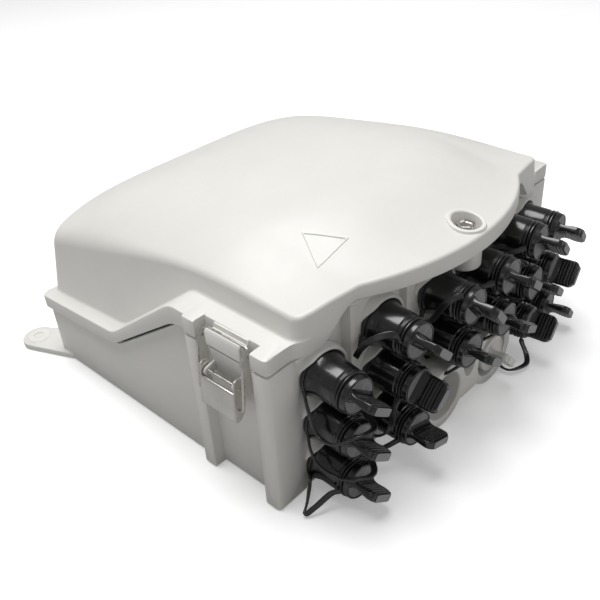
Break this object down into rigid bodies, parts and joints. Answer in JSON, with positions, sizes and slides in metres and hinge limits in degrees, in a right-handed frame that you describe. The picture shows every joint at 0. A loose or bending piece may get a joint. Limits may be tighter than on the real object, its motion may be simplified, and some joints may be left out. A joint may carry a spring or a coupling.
{
  "type": "fiber termination box",
  "caption": "Wall or pole fiber termination box: ribbed base, domed hinged lid with side bail latches, capped subscriber ports and round cable glands along one end.",
  "frame": {"origin": "centre of the shell outline on the flat wall face (z = 0)", "axes": "+Z from the wall towards the lid, -Y towards the capped ports, +Y towards the lid hinge and the mounting ears, +X across the width"},
  "size_m": [0.328, 0.3521, 0.153],
  "materials": {
    "abs_shell": "satin light grey moulded ABS, fine texture",
    "inner_plastic": "plain moulded",
    "cap_rubber": "glossy black thermoplastic rubber",
    "seal_rubber": "matt dark grey silicone",
    "steel": "bright drawn wire and pressed sheet",
    "brass": "knurled insert",
    "adapter_plastic": "moulded green",
    "tray_plastic": "plain dark grey moulded",
    "clear_plastic": "frosted clear lid sheet"
  },
  "bodies": {
    "base": {"base_shell": "abs_shell", "bolt_insert": "brass", "hinge_pin_left": "steel", "hinge_pin_right": "steel", "right_latch_pin": "steel", "left_latch_pin": "steel", "gland_plate": "abs_shell", "gland_seal_left": "seal_rubber", "gland_seal_right": "seal_rubber", "cable_clamp_left": "steel", "cable_clamp_right": "steel", "splice_tray_pin": "steel", "splitter_module": "inner_plastic", "adapter_01": "adapter_plastic", "adapter_02": "adapter_plastic", "adapter_03": "adapter_plastic", "adapter_04": "adapter_plastic", "adapter_05": "adapter_plastic", "adapter_06": "adapter_plastic", "adapter_07": "adapter_plastic", "adapter_08": "adapter_plastic", "adapter_09": "adapter_plastic", "adapter_10": "adapter_plastic", "adapter_11": "adapter_plastic", "adapter_12": "adapter_plastic", "adapter_13": "adapter_plastic", "adapter_14": "adapter_plastic", "adapter_15": "adapter_plastic", "adapter_16": "adapter_plastic"},
    "lid": {"lid_shell": "abs_shell", "lid_gasket": "seal_rubber"},
    "lock_bolt": {"lock_bolt": "steel"},
    "right_lever": {"right_latch_lever": "steel"},
    "right_bail": {"right_latch_bail": "steel"},
    "left_lever": {"left_latch_lever": "steel"},
    "left_bail": {"left_latch_bail": "steel"},
    "gland_nut_left": {"gland_nut_left": "abs_shell"},
    "gland_nut_right": {"gland_nut_right": "abs_shell"},
    "blanking_plug": {"blanking_plug": "abs_shell"},
    "splice_tray": {"splice_tray": "tray_plastic", "splice_tray_cover": "clear_plastic"},
    "cap_01": {"dust_cap_01": "cap_rubber"},
    "cap_02": {"dust_cap_02": "cap_rubber"},
    "cap_03": {"dust_cap_03": "cap_rubber"},
    "cap_04": {"dust_cap_04": "cap_rubber"},
    "cap_05": {"dust_cap_05": "cap_rubber"},
    "cap_06": {"dust_cap_06": "cap_rubber"},
    "cap_07": {"dust_cap_07": "cap_rubber"},
    "cap_08": {"dust_cap_08": "cap_rubber"},
    "cap_09": {"dust_cap_09": "cap_rubber"},
    "cap_10": {"dust_cap_10": "cap_rubber"},
    "cap_11": {"dust_cap_11": "cap_rubber"},
    "cap_12": {"dust_cap_12": "cap_rubber"},
    "cap_13": {"dust_cap_13": "cap_rubber"},
    "cap_14": {"dust_cap_14": "cap_rubber"},
    "cap_15": {"dust_cap_15": "cap_rubber"},
    "cap_16": {"dust_cap_16": "cap_rubber"}
  },
  "joints": [
    {"name": "lid_hinge", "type": "hinge", "parent": "base", "child": "lid", "pos_m": [0, 0.13, 0.05], "axis": [-1, 0, 0], "range_deg": [0, 110]},
    {"name": "lock_bolt_turn", "type": "hinge", "parent": "lid", "child": "lock_bolt", "pos_m": [0, -0.148, 0.13], "axis": [0, 0, 1], "continuous": true},
    {"name": "splice_tray_hinge", "type": "hinge", "parent": "base", "child": "splice_tray", "pos_m": [0, -0.078, 0.034], "axis": [1, 0, 0], "range_deg": [0, 75]},
    {"name": "right_lever_hinge", "type": "hinge", "parent": "base", "child": "right_lever", "pos_m": [0.155, -0.0902, 0.088], "axis": [0, -1, 0], "range_deg": [0, 75]},
    {"name": "right_bail_hinge", "type": "hinge", "parent": "right_lever", "child": "right_bail", "pos_m": [0.1572, -0.0902, 0.074], "axis": [0, -1, 0], "range_deg": [-50, 5]},
    {"name": "left_lever_hinge", "type": "hinge", "parent": "base", "child": "left_lever", "pos_m": [-0.155, -0.0902, 0.088], "axis": [0, 1, 0], "range_deg": [0, 75]},
    {"name": "left_bail_hinge", "type": "hinge", "parent": "left_lever", "child": "left_bail", "pos_m": [-0.1572, -0.0902, 0.074], "axis": [0, 1, 0], "range_deg": [-50, 5]},
    {"name": "gland_nut_left_turn", "type": "hinge", "parent": "base", "child": "gland_nut_left", "pos_m": [-0.029, -0.148, 0.0245], "axis": [0, -1, 0], "continuous": true},
    {"name": "gland_nut_right_turn", "type": "hinge", "parent": "base", "child": "gland_nut_right", "pos_m": [0.029, -0.148, 0.0245], "axis": [0, -1, 0], "continuous": true},
    {"name": "blanking_plug_pull", "type": "slide", "parent": "base", "child": "blanking_plug", "axis": [0, -1, 0], "range_m": [0, 0.03]},
    {"name": "cap_01_pull", "type": "slide", "parent": "base", "child": "cap_01", "axis": [-0.1045, -0.9945, 0], "range_m": [0, 0.03]},
    {"name": "cap_02_pull", "type": "slide", "parent": "base", "child": "cap_02", "axis": [-0.1045, -0.9945, 0], "range_m": [0, 0.03]},
    {"name": "cap_03_pull", "type": "slide", "parent": "base", "child": "cap_03", "axis": [-0.1045, -0.9945, 0], "range_m": [0, 0.03]},
    {"name": "cap_04_pull", "type": "slide", "parent": "base", "child": "cap_04", "axis": [-0.0698, -0.9976, 0], "range_m": [0, 0.03]},
    {"name": "cap_05_pull", "type": "slide", "parent": "base", "child": "cap_05", "axis": [-0.0698, -0.9976, 0], "range_m": [0, 0.03]},
    {"name": "cap_06_pull", "type": "slide", "parent": "base", "child": "cap_06", "axis": [-0.0698, -0.9976, 0], "range_m": [0, 0.03]},
    {"name": "cap_07_pull", "type": "slide", "parent": "base", "child": "cap_07", "axis": [-0.0209, -0.9998, 0], "range_m": [0, 0.03]},
    {"name": "cap_08_pull", "type": "slide", "parent": "base", "child": "cap_08", "axis": [-0.0209, -0.9998, 0], "range_m": [0, 0.03]},
    {"name": "cap_09_pull", "type": "slide", "parent": "base", "child": "cap_09", "axis": [0.0209, -0.9998, 0], "range_m": [0, 0.03]},
    {"name": "cap_10_pull", "type": "slide", "parent": "base", "child": "cap_10", "axis": [0.0209, -0.9998, 0], "range_m": [0, 0.03]},
    {"name": "cap_11_pull", "type": "slide", "parent": "base", "child": "cap_11", "axis": [0.0698, -0.9976, 0], "range_m": [0, 0.03]},
    {"name": "cap_12_pull", "type": "slide", "parent": "base", "child": "cap_12", "axis": [0.0698, -0.9976, 0], "range_m": [0, 0.03]},
    {"name": "cap_13_pull", "type": "slide", "parent": "base", "child": "cap_13", "axis": [0.0698, -0.9976, 0], "range_m": [0, 0.03]},
    {"name": "cap_14_pull", "type": "slide", "parent": "base", "child": "cap_14", "axis": [0.1045, -0.9945, 0], "range_m": [0, 0.03]},
    {"name": "cap_15_pull", "type": "slide", "parent": "base", "child": "cap_15", "axis": [0.1045, -0.9945, 0], "range_m": [0, 0.03]},
    {"name": "cap_16_pull", "type": "slide", "parent": "base", "child": "cap_16", "axis": [0.1045, -0.9945, 0], "range_m": [0, 0.03]}
  ],
  "couplings": [
    {"joint": "right_bail_hinge", "follows": "right_lever_hinge", "ratio": -0.64},
    {"joint": "left_bail_hinge", "follows": "left_lever_hinge", "ratio": -0.64}
  ]
}
